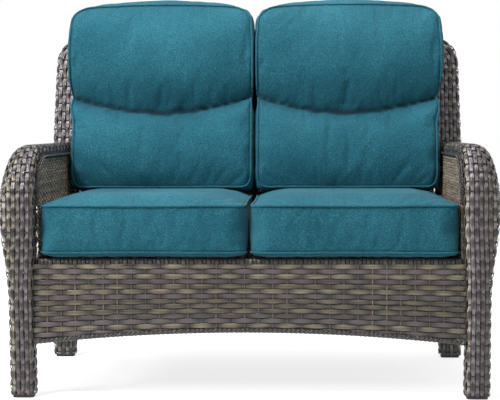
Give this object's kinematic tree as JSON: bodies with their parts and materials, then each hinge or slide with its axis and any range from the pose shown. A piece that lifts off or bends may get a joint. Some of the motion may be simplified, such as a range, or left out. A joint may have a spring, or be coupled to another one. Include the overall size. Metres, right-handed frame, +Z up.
{
  "type": "patio loveseat",
  "caption": "Woven resin patio loveseat with rolled arms, arched aprons, a winged high back, and loose seat and back cushions.",
  "frame": {"origin": "on the floor under the middle of the overall box", "axes": "+X along the seat to the right as seen from the front, +Y towards the back, +Z up; the front faces -Y"},
  "size_m": [1.23, 0.7598, 1.0341],
  "materials": {
    "woven_resin": "satin flat strand, variegated grey-brown",
    "fine_woven_resin": "satin fine strand, tan-brown",
    "dark_resin": "satin strand, dark",
    "coated_steel": "satin powder coat",
    "zinc_steel": "zinc plated",
    "glide_plastic": "moulded",
    "cushion_cover": "heathered teal weave"
  },
  "bodies": {
    "frame": {"left_arm_wrap": "woven_resin", "right_arm_wrap": "woven_resin", "left_wing_wrap": "woven_resin", "right_wing_wrap": "woven_resin", "left_rear_leg_wrap": "woven_resin", "right_rear_leg_wrap": "woven_resin", "left_side_panel": "fine_woven_resin", "right_side_panel": "fine_woven_resin", "left_arm_braid": "dark_resin", "right_arm_braid": "dark_resin", "left_arm_inner_tube": "coated_steel", "right_arm_inner_tube": "coated_steel", "left_arm_outer_tube": "coated_steel", "right_arm_outer_tube": "coated_steel", "left_arm_ties": "coated_steel", "right_arm_ties": "coated_steel", "left_arm_end_plate": "coated_steel", "right_arm_end_plate": "coated_steel", "left_side_rail": "coated_steel", "right_side_rail": "coated_steel", "left_side_rail_plate": "coated_steel", "right_side_rail_plate": "coated_steel", "left_side_tube": "coated_steel", "right_side_tube": "coated_steel", "left_side_bars": "coated_steel", "right_side_bars": "coated_steel", "left_front_glide": "glide_plastic", "right_front_glide": "glide_plastic", "left_rear_glide": "glide_plastic", "right_rear_glide": "glide_plastic", "back_outer_hoop": "coated_steel", "back_inner_hoop": "coated_steel", "back_lower_rail": "coated_steel", "back_hoop_ties": "coated_steel", "back_bars": "coated_steel", "top_rail_wrap": "woven_resin", "back_panel": "woven_resin", "rear_apron": "woven_resin", "rear_apron_tube": "coated_steel", "rear_apron_bars": "coated_steel", "seat_ring": "coated_steel", "seat_bearers": "coated_steel", "seat_deck": "woven_resin", "front_rail_wrap": "dark_resin", "front_apron": "woven_resin", "front_apron_tube": "coated_steel", "front_apron_bars": "coated_steel", "seat_side_bolts": "zinc_steel", "seat_back_bolts": "zinc_steel", "arm_back_bolts": "zinc_steel", "washers": "zinc_steel", "nuts": "zinc_steel", "seat_back_spacers": "zinc_steel", "arm_back_caps": "glide_plastic"},
    "left_seat_cushion": {"left_seat_cushion": "cushion_cover"},
    "right_seat_cushion": {"right_seat_cushion": "cushion_cover"},
    "left_back_cushion": {"left_back_cushion": "cushion_cover"},
    "right_back_cushion": {"right_back_cushion": "cushion_cover"}
  },
  "joints": [
    {"name": "left_seat_cushion_slide", "type": "slide", "parent": "frame", "child": "left_seat_cushion", "axis": [0, -1, 0], "range_m": [0, 0.25]},
    {"name": "right_seat_cushion_slide", "type": "slide", "parent": "frame", "child": "right_seat_cushion", "axis": [0, -1, 0], "range_m": [0, 0.25]},
    {"name": "left_back_cushion_lift", "type": "slide", "parent": "frame", "child": "left_back_cushion", "axis": [0, 0.2079, 0.9781], "range_m": [0, 0.3]},
    {"name": "right_back_cushion_lift", "type": "slide", "parent": "frame", "child": "right_back_cushion", "axis": [0, 0.2079, 0.9781], "range_m": [0, 0.3]}
  ]
}
